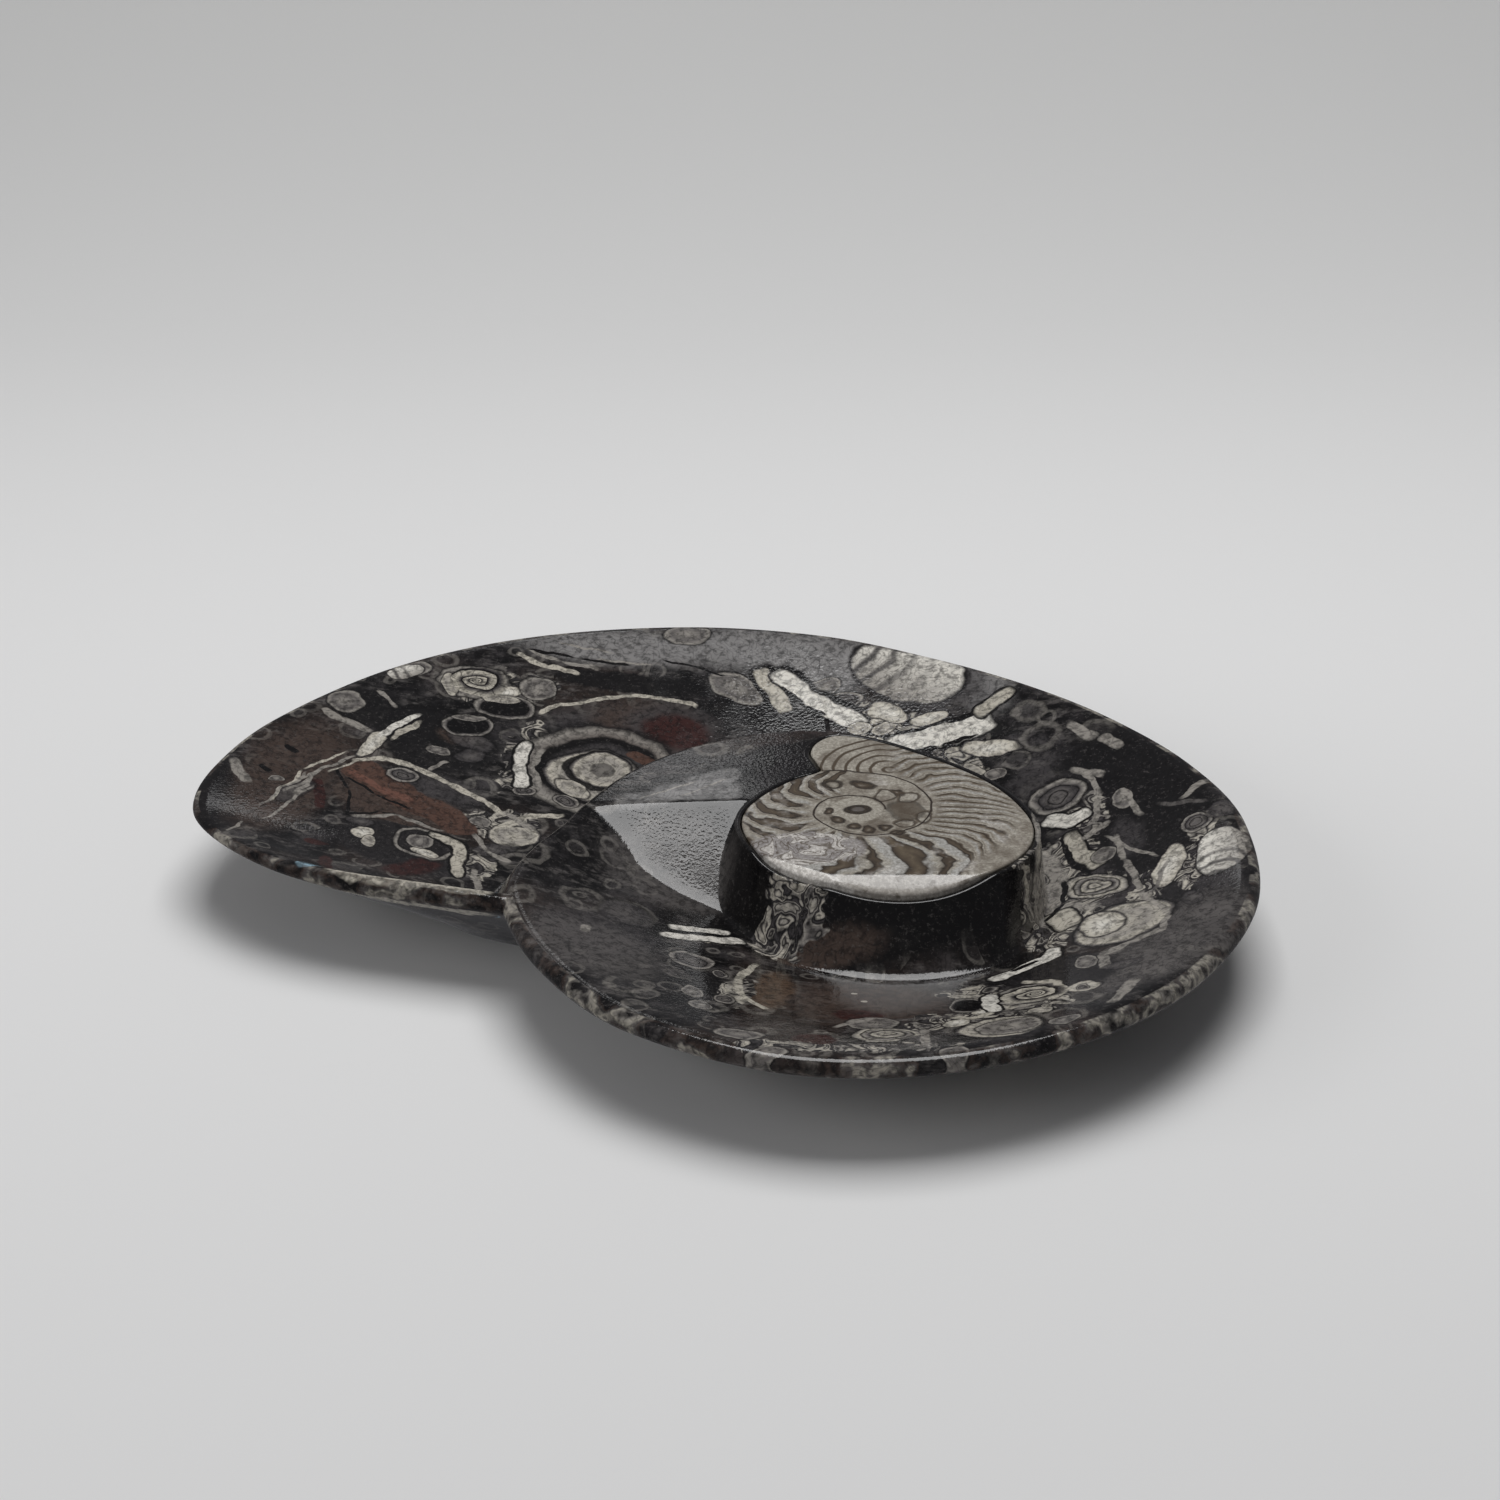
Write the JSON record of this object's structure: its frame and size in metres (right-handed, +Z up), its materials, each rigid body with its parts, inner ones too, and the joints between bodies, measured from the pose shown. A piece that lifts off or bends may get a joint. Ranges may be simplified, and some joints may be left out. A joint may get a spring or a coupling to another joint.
{
  "type": "polished ammonite and orthoceras plate",
  "caption": "Shallow ammonite-shaped dish of polished black fossil limestone, with a spiral channel, a tongue at one side and a ground ammonite set in its raised middle.",
  "frame": {"origin": "middle of the dish's outline, on the table under its flat foot", "axes": "+X along the dish's length, away from the tongue; +Y towards the back of the dish, where the set ammonite's mouth points; +Z up"},
  "size_m": [0.2004, 0.1734, 0.021],
  "materials": {
    "black_limestone": "polished black limestone with white, grey and rust-red sections of fossil shells",
    "polished_ammonite": "polished section of an ammonite in cream and grey calcite with dark brown sutures"
  },
  "bodies": {
    "root": {"fossil_limestone_dish": "black_limestone", "ammonite": "polished_ammonite"}
  },
  "joints": []
}
